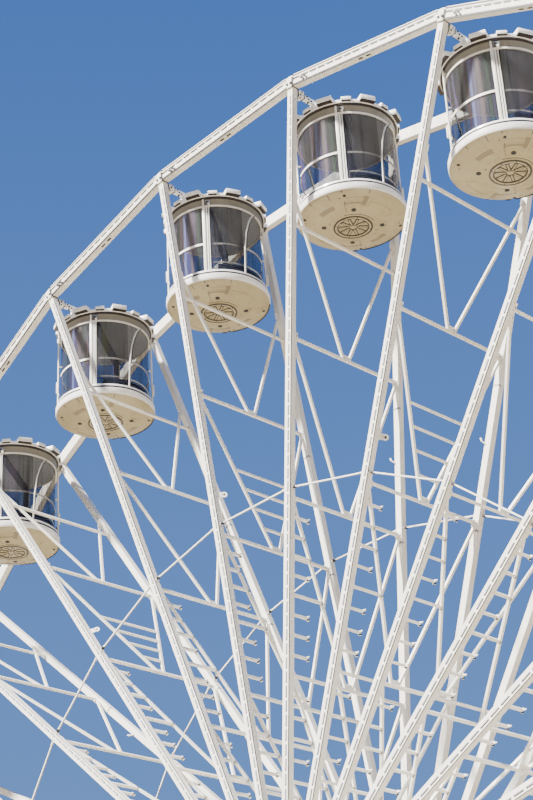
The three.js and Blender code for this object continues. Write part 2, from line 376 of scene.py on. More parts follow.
def galvanised_steel():
    zinc = Finish("galvanised_steel", metallic=0.7, ior=1.5)
    tone = zinc.add("RGBToBW", {}, {0: zinc.cells(55.0, "Color")})
    dull = zinc.mask(zinc.noise(7.0, 4.0), 0.4, 0.7)
    return zinc.set(
        base_color=zinc.mix(tone * 0.5 + dull * 0.3, (0.4, 0.4, 0.39), (0.22, 0.2, 0.17)),
        roughness=0.38 + 0.3 * dull,
        normal=zinc.bump(tone, 0.0004),
    )


def smoked_glass(name, cover, banded_reflection=0.0):
    """Curved smoked glazing with upright streaks on the pane's own map: painted reflections, and darker
    streaks of painted shade. On door panes, bands of painted reflection tint some of them.
    """
    glass = Finish(name, roughness=0.3, ior=1.5, specular_ior_level=0.04)
    wide = glass.noise(1.0, 3.0, place=glass.stretched((3.4, 0.16, 1.0), "UV"))
    narrow = glass.noise(1.0, 5.0, 0.65, place=glass.stretched((15.0, 0.25, 1.0), "UV"))
    reflection_hue = glass.noise(1.0, 2.0, place=glass.stretched((6.2, 0.5, 3.0), "UV"))
    across, height, _ = glass.axes("UV")
    reflection_tint_share = 0.25 + 0.75 * banded_reflection
    colour = glass.mix(glass.mask(reflection_hue, 0.36, 0.44), (0.042, 0.045, 0.028), (0.036, 0.036, 0.042))
    # Lilac and red streaks: painted reflections.
    colour = glass.mix(glass.mask(reflection_hue, 0.55, 0.6) * reflection_tint_share, colour, (0.1, 0.07, 0.14))
    colour = glass.mix(glass.mask(reflection_hue, 0.65, 0.7) * reflection_tint_share, colour, (0.13, 0.055, 0.055))
    # Pale bluish streaks: painted reflection of the sky.
    pale_reflection = glass.mask(narrow * 0.6 + wide * 0.4, 0.5, 0.64)
    colour = glass.mix(pale_reflection * 0.7, colour, (0.075, 0.085, 0.12))
    shadow = glass.mask(wide, 0.44, 0.32)
    colour = glass.mix(shadow * 0.8, colour, (0.016, 0.016, 0.02))
    # Bluer towards the bottom: painted blue of the sky seen through the glass.
    colour = glass.mix(glass.mask(height, -1.1, -1.9) * 0.35, colour, (0.025, 0.035, 0.08))
    density = cover * (1.0 + 0.65 * pale_reflection + 0.45 * shadow)
    # On door panes: bands of painted reflection at fixed places along the arc.
    if banded_reflection:
        phase = (across + 4 * PANE_PERIOD).wrapped(PANE_PERIOD)
        for centre, half, tone in REFLECTION_BANDS:
            near = glass.mask((phase - centre + 0.05 * (reflection_hue - 0.5)).size(), half, half * 0.25) * banded_reflection
            colour = glass.mix(near * 0.8, colour, tone)
            density = density + near * 0.08
    return glass.set(base_color=colour, alpha=density, normal=glass.bump(narrow, 0.0015, 0.6))


def seat_vinyl():
    vinyl = Finish("seat_vinyl", ior=1.5)
    wear = vinyl.mask(vinyl.noise(5.0, 4.0), 0.45, 0.7)
    return vinyl.set(
        base_color=vinyl.mix(wear * 0.6, (0.014, 0.02, 0.045), (0.05, 0.06, 0.085)),
        roughness=0.42 + 0.2 * wear,
        normal=vinyl.bump(vinyl.cells(190.0), 0.0008),
    )


def light_diffuser():
    lens = Finish("light_strip", ior=1.46, coat_weight=0.4)
    cloud = lens.noise(24.0, 3.0)
    tone = (0.52, 0.53, 0.54)
    return lens.set(
        base_color=lens.mix(cloud, tone, darker(tone, 0.7)),
        roughness=0.25 + 0.25 * cloud,
        normal=lens.bump(cloud, 0.0006),
    )


def deck_tread():
    """Raised bars in pairs, turned by a quarter from one square to the next."""
    plate = Finish("deck_tread", metallic=0.55, ior=1.5)
    across, along, _ = plate.axes()
    first = (across + along) * 22.0
    second = (across - along) * 22.0
    bars = plate.mask(first.wave() * second.wave(), 0.45, 0.8)
    scuff = plate.mask(plate.noise(3.2, 6.0), 0.42, 0.66)
    return plate.set(
        base_color=plate.mix(scuff * 0.7, (0.42, 0.43, 0.43), (0.23, 0.22, 0.2)),
        roughness=0.42 + 0.3 * scuff - 0.1 * bars,
        normal=plate.bump(bars, 0.002),
    )


def floor_finish():
    ground = Finish("pale_floor", roughness=0.85)
    tone = ground.noise(0.12, 4.0)
    return ground.set(base_color=ground.mix(tone, (0.26, 0.21, 0.135), (0.225, 0.18, 0.115)))


WHITE = steel_paint("white_steel", (0.85, 0.83, 0.76), (0.66, 0.6, 0.48), rust=0.18)
HUB_WHITE = steel_paint("hub_steel", (0.76, 0.755, 0.72), (0.5, 0.47, 0.42), rust=0.3)
BASE_GREY = steel_paint("base_steel", (0.62, 0.62, 0.59), (0.4, 0.38, 0.34), rust=0.5)
SHELL = gel_coat("cabin_shell", (0.93, 0.92, 0.89), (0.78, 0.75, 0.68))
# Painted shade: the bottom is the cabin's white gel coat made darker and warmer where it faces the ground
SHADED_BOTTOM = gel_coat("cabin_bottom_painted_shade", (0.42, 0.36, 0.212), (0.31, 0.256, 0.14))
# Painted shade in the embossed pockets of the bottom, darker than the bottom itself
SHADED_RECESS = gel_coat("cabin_pocket_painted_shade", (0.25, 0.205, 0.122), (0.18, 0.142, 0.082))
# Painted shade on the raised fields of the bottom, a little darker than the bottom
SHADED_PANEL = gel_coat("cabin_panel_painted_shade", (0.37, 0.315, 0.188), (0.28, 0.23, 0.13))
# Painted shade: the ceiling inside the cabin is darkened to a grey-blue
SHADED_CEILING = gel_coat("cabin_ceiling_painted_shade", (0.34, 0.37, 0.42), (0.26, 0.28, 0.32))
# Painted shade: the soffit under the roof's overhang, darker than the shell
SHADED_SOFFIT = gel_coat("cabin_soffit_painted_shade", (0.2, 0.187, 0.152), (0.145, 0.132, 0.103))
# A near-black finish for joint lines, gaskets and seams, also used as painted shade under the roof's blocks
# and in the rosette's grooves
JOINT_AND_SHADE = gel_coat("joint_and_shade_line", (0.036, 0.027, 0.023), (0.022, 0.016, 0.013))
RUBBER = dark_rubber()
ZINC = galvanised_steel()
VINYL = seat_vinyl()
LIGHTS = light_diffuser()
DECK = deck_tread()
GLASS_FINISHES = [
    smoked_glass("smoked_glass", 0.34),
    smoked_glass("clear_glass", 0.16),
    smoked_glass("door_glass", 0.33, banded_reflection=1.0),
]
SHELL_FINISHES = [SHELL, RUBBER, JOINT_AND_SHADE, WHITE, SHADED_CEILING, SHADED_SOFFIT, SHADED_BOTTOM, SHADED_RECESS, SHADED_PANEL]
# The shell's finishes by number
COAT, DARK, LINE_AND_SHADE, STEEL, SHADED_OVERHEAD, SHADED_EAVES, SHADED_DISH, SHADED_POCKET, SHADED_FIELD = range(len(SHELL_FINISHES))

# Strips of the dished bottom, all of them twice: two azimuths, two radii, how proud and which finish
DISH_STRIPS = (
    (-104, -76, 0.61, 0.7, 0.004, SHADED_POCKET),
    (-56, -33, 0.672, 0.7, 0.004, SHADED_POCKET),
    (-55, -33, 0.7, 0.82, 0.002, SHADED_FIELD),
    (-33, -26.5, 0.63, 0.84, 0.005, SHADED_POCKET),
    (-60, -56, 0.64, 0.7, 0.004, SHADED_POCKET),
    (-20, 22, 0.74, 0.75, 0.006, SHADED_DISH),
    (-22, -20.6, 0.6, 0.75, 0.006, SHADED_DISH),
    (22, 23.4, 0.6, 0.75, 0.006, SHADED_DISH),
    (-122.6, -116, 0.42, 0.43, 0.003, LINE_AND_SHADE),
    (-74.3, -73.6, 0.85, 0.96, 0.003, LINE_AND_SHADE),
    (-97.5, -96.8, 0.9, 0.965, 0.003, LINE_AND_SHADE),
    (-28.5, -27.8, 0.9, 0.965, 0.003, LINE_AND_SHADE),
    (-60, -59.3, 0.45, 0.68, 0.003, LINE_AND_SHADE),
    (-58.4, -57.4, 0.7, 0.965, 0.004, LINE_AND_SHADE),
)


# Mesh work


def painted(verts, finish):
    """The faces round these points take the finish with this number."""
    for vert in verts:
        for face in vert.link_faces:
            face.material_index = finish


def turned_to(along):
    """The turn that takes Z to this direction."""
    return along.to_track_quat("Z", "Y").to_matrix().to_4x4()


def softened(bm, verts, offset, segments=1):
    """Round the edges of what these points make."""
    edges = {edge for vert in verts for edge in vert.link_edges}
    bmesh.ops.bevel(
        bm, geom=list(edges), offset=offset, segments=segments, affect="EDGES", profile=0.5, material=-1
    )


def block(bm, size, centre, turn=Matrix(), finish=0, soft=0.0, segments=1):
    """A block, with its edges rounded where soft is more than 0."""
    place = Matrix.Translation(centre) @ turn @ Matrix.Diagonal((*size, 1.0))
    verts = bmesh.ops.create_cube(bm, size=1.0, matrix=place)["verts"]
    painted(verts, finish)
    if soft:
        softened(bm, verts, soft, segments)


def beam(bm, start, end, width, depth=None, finish=0):
    """A bar of rectangular section between two points."""
    start, end = Vector(start), Vector(end)
    along = end - start
    size = (width, depth or width, along.length)
    block(bm, size, (start + end) / 2, turned_to(along), finish)


def rod(bm, start, end, radius, sides=8, finish=0):
    start, end = Vector(start), Vector(end)
    along = end - start
    place = Matrix.Translation((start + end) / 2) @ turned_to(along)
    verts = bmesh.ops.create_cone(
        bm, cap_ends=True, segments=sides, radius1=radius, radius2=radius, depth=along.length, matrix=place
    )["verts"]
    painted(verts, finish)
    return verts


def bolt(bm, centre, normal, radius, height, finish=1):
    """A hexagon head that stands on a face."""
    centre, normal = Vector(centre), Vector(normal)
    rod(bm, centre - normal * 0.002, centre + normal * height, radius, 6, finish)


def outward(bm, faces, finish):
    """Turn a closed shape's faces outwards and give them their finish."""
    bmesh.ops.recalc_face_normals(bm, faces=faces)
    for face in faces:
        face.material_index = finish
    return faces


def ring(bm, profile, steps=72, finish=0, closed=True):
    """A profile of radius and height turned all the way round Z."""
    verts = [bm.verts.new((radius, 0.0, height)) for radius, height in profile]
    ends = verts[1:] + (verts[:1] if closed else [])
    edges = [bm.edges.new(pair) for pair in zip(verts, ends)]
    before = set(bm.faces)
    bmesh.ops.spin(
        bm, geom=verts + edges, cent=(0, 0, 0), axis=(0, 0, 1), angle=2 * math.pi, steps=steps, use_merge=True
    )
    joined = {vert for face in bm.faces if face not in before for vert in face.verts}
    bmesh.ops.remove_doubles(bm, verts=list(joined), dist=1e-5)
    return outward(bm, [face for face in bm.faces if face not in before], finish)


def arc(bm, profile, start, end, steps, finish=0):
    """A closed profile of radius and height swept round Z between two azimuths, with closed ends."""
    turn = standing(start)
    verts = [bm.verts.new(turn @ Vector((radius, 0.0, height))) for radius, height in profile]
    edges = [bm.edges.new(pair) for pair in zip(verts, verts[1:] + verts[:1])]
    before = set(bm.faces)
    angle = math.radians(end - start)
    bmesh.ops.spin(bm, geom=verts + edges, cent=(0, 0, 0), axis=(0, 0, 1), angle=angle, steps=steps)
    made = [face for face in bm.faces if face not in before]
    rims = {edge for face in made for edge in face.edges if edge.is_boundary}
    made += bmesh.ops.holes_fill(bm, edges=list(rims), sides=0)["faces"]
    outward(bm, made, finish)


def placed(bm, faces, place):
    """Move the shape that these faces make."""
    bmesh.ops.transform(bm, matrix=place, verts=list({vert for face in faces for vert in face.verts}))


def section(radius, height, width, depth):
    """The four corners of a rail's section, round a point of radius and height."""
    low, high = height - width / 2, height + width / 2
    near, far = radius - depth / 2, radius + depth / 2
    return [(near, low), (far, low), (far, high), (near, high)]


def polar(azimuth, radius, height=0.0):
    angle = math.radians(azimuth)
    return Vector((radius * math.cos(angle), radius * math.sin(angle), height))


def standing(azimuth):
    """The turn that takes X outwards at this azimuth."""
    return Matrix.Rotation(math.radians(azimuth), 4, "Z")


def upright(bm, size, azimuth, radius, height, finish=0, soft=0.0, segments=1):
    """A block that faces outwards at an azimuth."""
    block(bm, size, polar(azimuth, radius, height), standing(azimuth), finish, soft, segments)


def mesh_of(bm, name, smooth=30.0):
    """The bmesh as a mesh, shaded smooth over edges flatter than this many degrees."""
    for edge in bm.edges:
        edge.smooth = len(edge.link_faces) == 2 and edge.calc_face_angle(math.pi) < math.radians(smooth)
    for face in bm.faces:
        face.smooth = True
    mesh = bpy.data.meshes.new(name)
    bm.to_mesh(mesh)
    bm.free()
    return mesh


def shown(name, data):
    """Put a mesh, a light or a camera in the scene."""
    thing = bpy.data.objects.new(name, data)
    bpy.context.scene.collection.objects.link(thing)
    return thing


def piece(name, form, finishes, body):
    """Show a mesh or a bmesh as a piece that rides on a body."""
    mesh = mesh_of(form, name) if isinstance(form, bmesh.types.BMesh) else form
    for finish in finishes:
        mesh.materials.append(finish)
    made = shown(name, mesh)
    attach(made, body)
    return made


def spoke_place(i):
    """Takes a frame's own axes to the wheel: X along the rim, Y along the axle, Z outwards."""
    return Matrix.Translation(AXLE) @ Matrix.Rotation(FIRST_ANGLE + i * STEP, 4, "Y")


def repeated(name, template, places, finishes):
    """A piece of the wheel that holds a copy of the template's mesh at each place."""
    whole = bmesh.new()
    for place in places:
        copy = template.copy()
        copy.transform(place)
        whole.from_mesh(copy)
        bpy.data.meshes.remove(copy)
    piece(name, whole, finishes, "wheel")


def on_every_spoke(name, bm, finishes, spokes=range(CABINS), both_sides=False):
    """A piece made once for a front spoke, and repeated round the wheel."""
    places = [spoke_place(i) for i in spokes]
    if both_sides:
        places += [place @ HALF_TURN for place in places]
    repeated(name, mesh_of(bm, name + "_one"), places, finishes)


# What the spokes carry


def peg_radius(k):
    """The radius of the k-th place for a peg or a rung."""
    return MEMBER_RADII[2] - k * PEG_PITCH


def strut_y(i, radius):
    """How far from the mid plane a strut of the i-th pair stands at a radius."""
    share = (STRUT_HEADS[i] - radius) / (STRUT_HEADS[i] - STRUT_FEET[i])
    return SPOKE_INNER + (STRUT_FOOT_Y - SPOKE_INNER) * share


def spoke_pegs():
    """Short inward pegs, with a small forked clip and a dark pin at the end."""
    bm = bmesh.new()
    tip = FRONT_INNER + PEG_LENGTH
    x = 0.012
    for radius in map(peg_radius, PEGS):
        beam(bm, (0, FRONT_INNER - 0.01, radius), (0, tip, radius), 0.04)
        for lift in (0.026, -0.03):
            block(bm, (0.04, 0.03, 0.018), (0.004, tip + 0.012, radius + lift))
        beam(bm, (x, tip + 0.01, radius + 0.024), (x, tip + 0.034, radius + 0.046), 0.016, 0.014)
        rod(bm, (x, tip - 0.012, radius - 0.022), (x, tip + 0.024, radius - 0.022), 0.016, 8, 1)
        block(bm, (0.08, 0.008, 0.07), (0, FRONT_INNER + 0.004, radius))
    on_every_spoke("spoke_pegs", bm, [WHITE, RUBBER])


def strut_rungs():
    """Rungs from the front spoke to its strut, which a dark clamp holds there."""
    bm = bmesh.new()
    for k in STRUT_RUNGS:
        radius = peg_radius(k)
        tip = -strut_y(2 if k < INNER_RUNGS else 3, radius)
        beam(bm, (0, FRONT_INNER - 0.01, radius), (0, tip, radius), 0.043)
        block(bm, (0.052, 0.028, 0.044), (0, tip - 0.01, radius - 0.012), finish=1)
    on_every_spoke("strut_rungs", bm, [WHITE, ZINC])


def panel_rungs():
    """Rungs between the two struts of the second pair, on every second frame."""
    bm = bmesh.new()
    for radius in PANEL_RUNGS:
        reach = strut_y(1, radius)
        beam(bm, (0, -reach, radius), (0, reach, radius), 0.036)
    on_every_spoke("panel_rungs", bm, [WHITE], spokes=range(1, CABINS, 2))


def inner_struts():
    """The last pair of struts, from the fourth member to the innermost one."""
    bm = bmesh.new()
    head, foot = STRUT_HEADS[3], STRUT_FEET[3]
    for side in SIDES:
        beam(bm, (0, side * strut_y(3, head), head), (0, side * strut_y(3, foot), foot), STRUT_WIDTH)
    on_every_spoke("inner_struts", bm, [WHITE])


def gussets():
    """Small welded plates where struts and members meet the spokes, and a bracket beside the second one."""
    bm = bmesh.new()
    for side in SIDES:
        face = side * SPOKE_INNER
        for head in STRUT_HEADS[:3]:
            block(bm, (0.01, 0.09, 0.13), (0, face - side * 0.04, head - 0.04), soft=0.003)
        for radius in MEMBER_RADII:
            block(bm, (0.1, 0.01, 0.1), (0, face - side * 0.005, radius), soft=0.003)
            for x in SIDES:
                bolt(bm, (x * 0.038, face - side * 0.01, radius), (0, -side, 0), 0.009, 0.008)
    for foot in STRUT_FEET[:3]:
        block(bm, (0.01, 0.2, 0.1), (0, 0, foot + 0.05), soft=0.003)
    y, z = FRONT_INNER + 0.045, 9.8
    block(bm, (0.012, 0.07, 0.08), (0.03, FRONT_INNER + 0.035, MEMBER_RADII[1] + 0.06))
    rod(bm, (0.034, y, z), (0.042, y, z), 0.014, 8, 1)
    on_every_spoke("strut_gussets", bm, [WHITE, ZINC])


def back_hooks():
    """A cable hook, and two dark bands of painted rung shadow, on the inner face of each back spoke."""
    bm = bmesh.new()
    x, y = -SPOKE_WIDTH / 2, SPOKE_INNER
    bend = (x - 0.03, y - 0.05, HOOK_RADIUS)
    rod(bm, (x + 0.03, y + 0.01, HOOK_RADIUS - 0.05), bend, 0.014)
    rod(bm, bend, (x - 0.05, y - 0.06, HOOK_RADIUS + 0.05), 0.016)
    for shadow_radius in RUNG_SHADOW_RADII:
        block(bm, (SPOKE_WIDTH + 0.006, 0.05, 0.03), (0, y + 0.022, shadow_radius), finish=1)
    on_every_spoke("cable_hooks", bm, [WHITE, ZINC])


def spoke_lugs():
    """A flat bored lug at the inner edge of every second front spoke."""
    bm = bmesh.new()
    eye = Matrix.Translation((0.13, 0, 0)) @ Matrix.Rotation(math.pi / 2, 4, "X")
    placed(bm, ring(bm, section(0.037, 0.0, 0.012, 0.032), 20), eye)
    block(bm, (0.125, 0.012, 0.104), (0.04, 0, 0), soft=0.003)
    rod(bm, (0.13, -0.002, 0), (0.13, 0.008, 0), 0.024, 12, 1)
    root = Matrix.Translation((SPOKE_WIDTH / 2 - 0.02, FRONT_INNER - 0.02, LUG_RADIUS))
    placed(bm, bm.faces, root @ standing(LUG_TURN))
    on_every_spoke("spoke_lugs", bm, [WHITE, RUBBER], spokes=range(1, CABINS, 2))


def spoke_lights():
    """Capsule lights in a row along the outer face of each spoke, and the joint of its cover."""
    bm = bmesh.new()
    radius = FIRST_LIGHT
    face = -SPOKE_FACE
    while radius < SPOKE_TIP - 0.25:
        block(bm, (0.026, 0.014, LIGHT_LENGTH), (0.012, face - 0.002, radius), soft=0.005)
        block(bm, (0.009, 0.006, LIGHT_LENGTH), (0.03, face, radius), finish=2)
        block(bm, (0.012, 0.014, 0.014), (0.02, face - 0.004, radius - 0.088), finish=1)
        radius += LIGHT_PITCH
    length = SPOKE_TIP - SPOKE_FOOT - 0.3
    block(bm, (0.004, 0.016, length), (SPOKE_WIDTH / 2, face + 0.012, (SPOKE_TIP + SPOKE_FOOT) / 2), finish=2)
    on_every_spoke("spoke_lights", bm, [LIGHTS, RUBBER, JOINT_AND_SHADE], both_sides=True)


def tie_rods():
    """Rods between neighbouring spokes in the planes of both rims, with clevis ends."""
    bm = bmesh.new()
    half = SPOKE_WIDTH / 2
    turn = Matrix.Rotation(STEP, 4, "Y")
    for side in SIDES:
        near = Vector((half, side * RIM_PLANE, TIE_RADIUS))
        far = turn @ Vector((-half, side * RIM_PLANE, TIE_RADIUS))
        along = (far - near).normalized()
        start, end = near + along * 0.1, far - along * 0.1
        beam(bm, start, end, TIE_WIDTH)
        # A thin dark strip under each rod: painted shade.
        under = Vector((0, -side * 0.002, -TIE_WIDTH / 2 - 0.003))
        beam(bm, start + under, end + under, TIE_WIDTH * 0.8, 0.006, 2)
        for root, way in ((near, along), (far, -along)):
            beam(bm, root - way * 0.01, root + way * 0.11, 0.036, 0.02)
        rod(bm, near + along * 0.03, near + along * 0.085, 0.026, 10, 1)
    on_every_spoke("tie_rods", bm, [WHITE, RUBBER, ZINC])


# What the rims carry


def rim_trim():
    """Light channels and joint lines along each straight bar of the rims."""
    bm = bmesh.new()
    half = RIM_RADIUS * math.tan(HALF_STEP) - BAR_GAP
    middle = RIM_RADIUS * math.cos(HALF_STEP)
    low = middle - RIM_HEIGHT / 2
    face = -RIM_FACE
    block(bm, (2 * half, 0.012, 0.026), (0, face - 0.004, middle + 0.058))
    block(bm, (2 * half, 0.006, 0.032), (0, face - 0.001, middle + 0.087), finish=1)
    block(bm, (2 * half, 0.01, 0.014), (0, face - 0.003, middle + 0.11))
    x = -half + DASH_LENGTH / 2
    while x < half - 0.06:
        block(bm, (DASH_LENGTH, 0.006, 0.022), (x, face - 0.001, middle + 0.02), finish=1)
        x += DASH_PITCH
    block(bm, (2 * half, 0.012, 0.036), (0, face + 0.003, low + 0.016), finish=1)
    for x in SIDES:
        block(bm, (0.1, 0.035, 0.004), (x * 0.09, -RIM_PLANE, low - 0.001), finish=2)
    template = mesh_of(bm, "rim_trim_one")
    for word, turn in (("front", Matrix()), ("back", HALF_TURN)):
        places = [spoke_place(i + 0.5) @ turn for i in range(CABINS)]
        repeated(word + "_rim_trim", template, places, [WHITE, JOINT_AND_SHADE, RUBBER])


def rim_corners():
    """The plate on a spoke's head, its bolts, and the flange of the next bar with its hook marks."""
    bm = bmesh.new()
    face = -RIM_FACE
    slope = math.tan(HALF_STEP)
    turn = Matrix.Rotation(HALF_STEP, 4, "Y")
    block(bm, (0.12, 0.02, 0.21), (0, face - 0.008, RIM_RADIUS - 0.03), soft=0.004)
    for x in SIDES:
        block(bm, (0.012, 0.012, 0.19), (x * 0.064, face - 0.001, RIM_RADIUS - 0.025), finish=1)
    for x in SIDES:
        bolt(bm, (x * 0.042, face - 0.017, RIM_RADIUS - 0.055), (0, -1, 0), 0.026, 0.014, 2)
    flange = (FLANGE_X, -RIM_PLANE, RIM_RADIUS - FLANGE_X * slope)
    block(bm, (0.026, RIM_DEPTH + 0.02, RIM_HEIGHT + 0.014), flange, turn, 1, soft=0.003)
    y = face - 0.002
    for x, thick in HOOK_MARKS:
        z = RIM_RADIUS - x * slope
        beam(bm, (x, y, z - 0.005), (x + 0.06, y, z - 0.085), 0.02, thick, 1)
        rod(bm, (x - 0.03, y, z - 0.004), (x + 0.012, y, z - 0.004), 0.016, 6, 1)
    on_every_spoke("rim_corners", bm, [WHITE, JOINT_AND_SHADE, RUBBER], both_sides=True)


def hook_point(x, side, azimuth):
    """A point on the bend of a bearing's hook plate."""
    angle = math.radians(azimuth)
    y = side * (BEARING_CAP + 0.06 - 0.05 * math.cos(angle))
    return (x * 0.05, y, HANG_RADIUS - 0.02 + 0.16 * math.sin(angle))


def bearing_fittings():
    """The clamp round each end of a cabin's hanger, and the curved hook plate that it hangs by."""
    bm = bmesh.new()
    for side in SIDES:
        y = side * (BEARING_CAP - 0.035)
        size = (BEARING_WIDTH + 0.012, 0.05, BEARING_HEIGHT + 0.012)
        block(bm, size, (0, y, HANG_RADIUS), soft=0.01, segments=2)
        size = (BEARING_WIDTH + 0.01, 0.014, BEARING_HEIGHT + 0.01)
        block(bm, size, (0, side * (BEARING_FACE + 0.016), HANG_RADIUS), soft=0.004)
        for x in SIDES:
            for z in SIDES:
                bolt(bm, (x * 0.04, y, HANG_RADIUS + z * 0.07), (0, 0, z), 0.013, 0.014)
            outer = (x * 0.066, side * (BEARING_CAP - 0.03), HANG_RADIUS - 0.03)
            bolt(bm, outer, (x, 0, 0), 0.014, 0.016)
            inner = (x * 0.06, side * (BEARING_FACE + 0.05), HANG_RADIUS + 0.03)
            bolt(bm, inner, (x, 0, 0), 0.012, 0.014)
            for azimuth in range(-50, 51, 25):
                bend = hook_point(x, side, azimuth), hook_point(x, side, azimuth + 25)
                beam(bm, *bend, 0.008, 0.012, 1)
    on_every_spoke("bearing_fittings", bm, [WHITE, RUBBER])


def hub_fittings():
    """Shoes that clamp the spokes' feet, and bolt circles on the flanges."""
    bm = bmesh.new()
    for side in SIDES:
        out = (0, side, 0)
        face = side * FLANGE_FACE
        for x in SIDES:
            bolt(bm, (x * 0.055, face, FLANGE_BOLTS), out, 0.018, 0.016)
        bolt(bm, (0, face, FLANGE_PIN), out, 0.022, 0.018)
        block(bm, (0.2, 0.02, 0.22), (0, side * (SPOKE_FACE + 0.012), SHOE_RADIUS), soft=0.005)
        for z in SHOE_BOLTS:
            for x in SIDES:
                bolt(bm, (x * 0.03, side * (SPOKE_FACE + 0.022), z), out, 0.014, 0.012)
        block(bm, (0.03, 0.1, 0.3), (0, side * (RIM_PLANE - 0.17), WEB_RADIUS))
    on_every_spoke("hub_fittings", bm, [HUB_WHITE, ZINC])


def on_axle(y, side=1):
    """Takes what was made round Z to lie round the axle, at a distance along it."""
    return Matrix.Translation(AXLE + Vector((0, y, 0))) @ Matrix.Rotation(-side * math.pi / 2, 4, "X")


def axle_fittings():
    """Stiffening rings round the drum, and a bolted cap on each end of the shaft."""
    bm = bmesh.new()
    for y in DRUM_RIBS:
        placed(bm, ring(bm, section(DRUM_RIB_RADIUS, 0.0, 0.03, 0.1), 48), on_axle(y))
    for side in SIDES:
        out = Vector((0, side, 0))
        middle = AXLE + out * COLLAR_FACE
        cap = rod(bm, middle, middle + out * CAP_HEIGHT, CAP_RADIUS, 40)
        softened(bm, cap, 0.006, 2)
        rod(bm, middle, middle + out * 0.06, 0.05, 24, 1)
        for k in range(10):
            turn = Matrix.Rotation(math.radians(36 * k), 3, "Y")
            bolt(bm, middle + turn @ Vector((0, 0, COLLAR_BOLTS)), out, 0.02, 0.018)
            bolt(bm, middle + turn @ Vector((0, side * CAP_HEIGHT, CAP_BOLTS)), out, 0.014, 0.012)
    piece("axle_fittings", bm, [HUB_WHITE, ZINC], "wheel")


# The cabins


def pan(bm):
    """The dished bottom with its rosette, the band and the sill."""
    dish = (
        (0.0, 0.012),
        (0.27, 0.012),
        (0.275, 0.0),
        (0.285, -0.004),
        (ROSETTE_RADIUS - 0.006, -0.004),
        (ROSETTE_RADIUS, 0.004),
        (ROSETTE_RADIUS + 0.008, 0.006),
        *DISH_RISE,
        (0.935, 0.122),
        (0.957, 0.137),
    )
    band = [
        (0.973, BAND_FOOT - 0.005),
        (BAND_RADIUS - 0.005, BAND_FOOT + 0.017),
        (BAND_RADIUS, BAND_FOOT + 0.044),
        (BAND_RADIUS, BAND_TOP - 0.014),
        (BAND_RADIUS - 0.008, BAND_TOP - 0.002),
        (BAND_RADIUS - 0.028, BAND_TOP),
        (BAND_RADIUS - 0.034, BAND_TOP + 0.006),
    ]
    sill = [
        (BAND_RADIUS - 0.034, SILL_Z - 0.056),
        (BAND_RADIUS - 0.026, SILL_Z - 0.048),
        (BAND_RADIUS - 0.03, SILL_Z - 0.012),
        (BAND_RADIUS - 0.045, SILL_Z),
        (0.85, SILL_Z),
        (0.84, SILL_Z - 0.012),
        (0.0, SILL_Z - 0.012),
    ]
    ring(bm, [(radius, DISH_FOOT + rise) for radius, rise in dish] + band + sill, closed=False)


def roof(bm):
    """The ceiling, the soffit, the gasket and the shallow cone over them."""
    ceiling = [(0.0, CEILING_Z), (CEILING_RADIUS, CEILING_Z), (0.872, CEILING_Z + 0.04)]
    cover = (
        (0.912, -0.026),
        (0.94, -0.024),
        (0.942, 0.012),
        (0.955, 0.014),
        (0.96, 0.022),
        (0.96, 0.07),
        (0.945, 0.085),
        (0.8, 0.15),
        (0.45, 0.225),
        (0.0, 0.25),
    )
    ring(bm, ceiling + [(radius, GASKET_Z + rise) for radius, rise in cover], closed=False)


def paint_shell(bm):
    """Give the faces of pan and roof their finishes, by where they lie."""
    for face in bm.faces:
        centre = face.calc_center_median()
        out = math.hypot(centre.x, centre.y)
        if BAND_TOP + 0.001 < centre.z < SILL_Z - 0.05 and out > 0.9:
            face.material_index = DARK
        elif GASKET_Z - 0.027 < centre.z < GASKET_Z + 0.013 and out > 0.9:
            face.material_index = LINE_AND_SHADE
        # The ceiling takes its grey-blue of painted shade.
        elif abs(centre.z - CEILING_Z) < 0.002 and out < CEILING_RADIUS:
            face.material_index = SHADED_OVERHEAD
        # The soffit under the overhang takes its darker colour of painted shade.
        elif CEILING_Z < centre.z < GASKET_Z - 0.027 and out > 0.84 and face.material_index == COAT:
            face.material_index = SHADED_EAVES
        # Below the band the faces take the bottom's darker beige of painted shade, with a dark ring of
        # painted shade in the rosette's groove
        elif centre.z < BAND_FOOT - 0.012:
            face.material_index = LINE_AND_SHADE if 0.26 < out < 0.29 else SHADED_DISH
        elif abs(centre.z - SILL_Z + 0.012) < 0.002 and out < 0.84:
            face.material_index = DARK


def cabin_shell():
    """Roof, soffit, rings, pan and dished bottom, and the hanger across the roof."""
    bm = bmesh.new()
    pan(bm)
    roof(bm)
    ring(bm, section(RING_RADIUS, -0.485, 0.032, 0.03), finish=STEEL)
    paint_shell(bm)
    for k in range(8):
        azimuth = 22.5 + 45 * k
        roof_block(bm, azimuth, 1.04, 0.29, 0.095)
        roof_block(bm, azimuth + 22.5, 0.995, 0.18, 0.07)
    bottom_details(bm)
    hanger(bm)
    return mesh_of(bm, "cabin_shell", 28.0)


def roof_block(bm, azimuth, reach, width, height):
    """A block that overhangs the gasket, out to a radius, with a dark slab of painted shade under it."""
    foot = GASKET_Z + 0.045
    middle = (reach + BLOCK_START) / 2
    size = (reach - BLOCK_START, width, height)
    upright(bm, size, azimuth, middle, foot + height / 2, soft=0.012, segments=2)
    # The dark slab under the block is painted shade.
    upright(bm, (reach - 0.8, width - 0.016, 0.03), azimuth, middle, foot - 0.006, LINE_AND_SHADE)


def on_dish(azimuth, radius, lift=0.0):
    """A point on the dished bottom."""
    steps = ((0.0, 0.0), *DISH_RISE, (0.96, 0.13), (0.99, 0.16))
    rise = 0.0
    for (r0, z0), (r1, z1) in zip(steps, steps[1:]):
        if r0 <= radius <= r1:
            rise = z0 + (z1 - z0) * (radius - r0) / (r1 - r0)
    return polar(azimuth, radius, DISH_FOOT + rise - lift)


